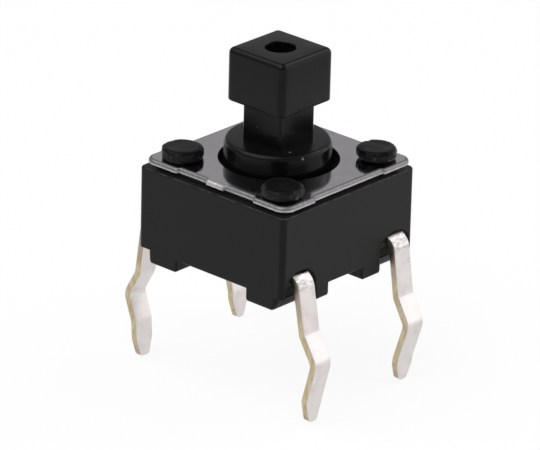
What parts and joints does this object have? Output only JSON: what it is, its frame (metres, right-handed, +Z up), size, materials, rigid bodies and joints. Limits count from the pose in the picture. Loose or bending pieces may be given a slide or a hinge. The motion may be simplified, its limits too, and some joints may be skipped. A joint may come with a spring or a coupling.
{
  "type": "tactile push button switch",
  "caption": "Small square-bodied momentary push switch with a square-headed plunger, a metal cover held by staked studs and kinked legs that snap into a circuit board.",
  "frame": {"origin": "centre of the switch on the face of the circuit board, where the four feet stand", "axes": "+Z up, along the plunger; X is the direction in which the legs leave the housing"},
  "size_m": [0.0084, 0.0062, 0.0112],
  "materials": {
    "housing_plastic": "satin black moulding",
    "plunger_plastic": "glossy black moulding",
    "cover_steel": "bright rolled stainless",
    "dome_steel": "bright spring steel",
    "contact_metal": "tin plating with bare brass on the sheared edges"
  },
  "bodies": {
    "switch_body": {"housing": "housing_plastic", "cover_plate": "cover_steel", "snap_dome": "dome_steel", "centre_contact_strip": "contact_metal", "outer_contact_strip": "contact_metal"},
    "button": {"plunger": "plunger_plastic"}
  },
  "joints": [
    {"name": "button_press", "type": "slide", "parent": "switch_body", "child": "button", "axis": [0, 0, -1], "range_m": [0, 0.00025], "stiffness_N_per_m": 6400, "deforming": ["snap_dome"]}
  ]
}
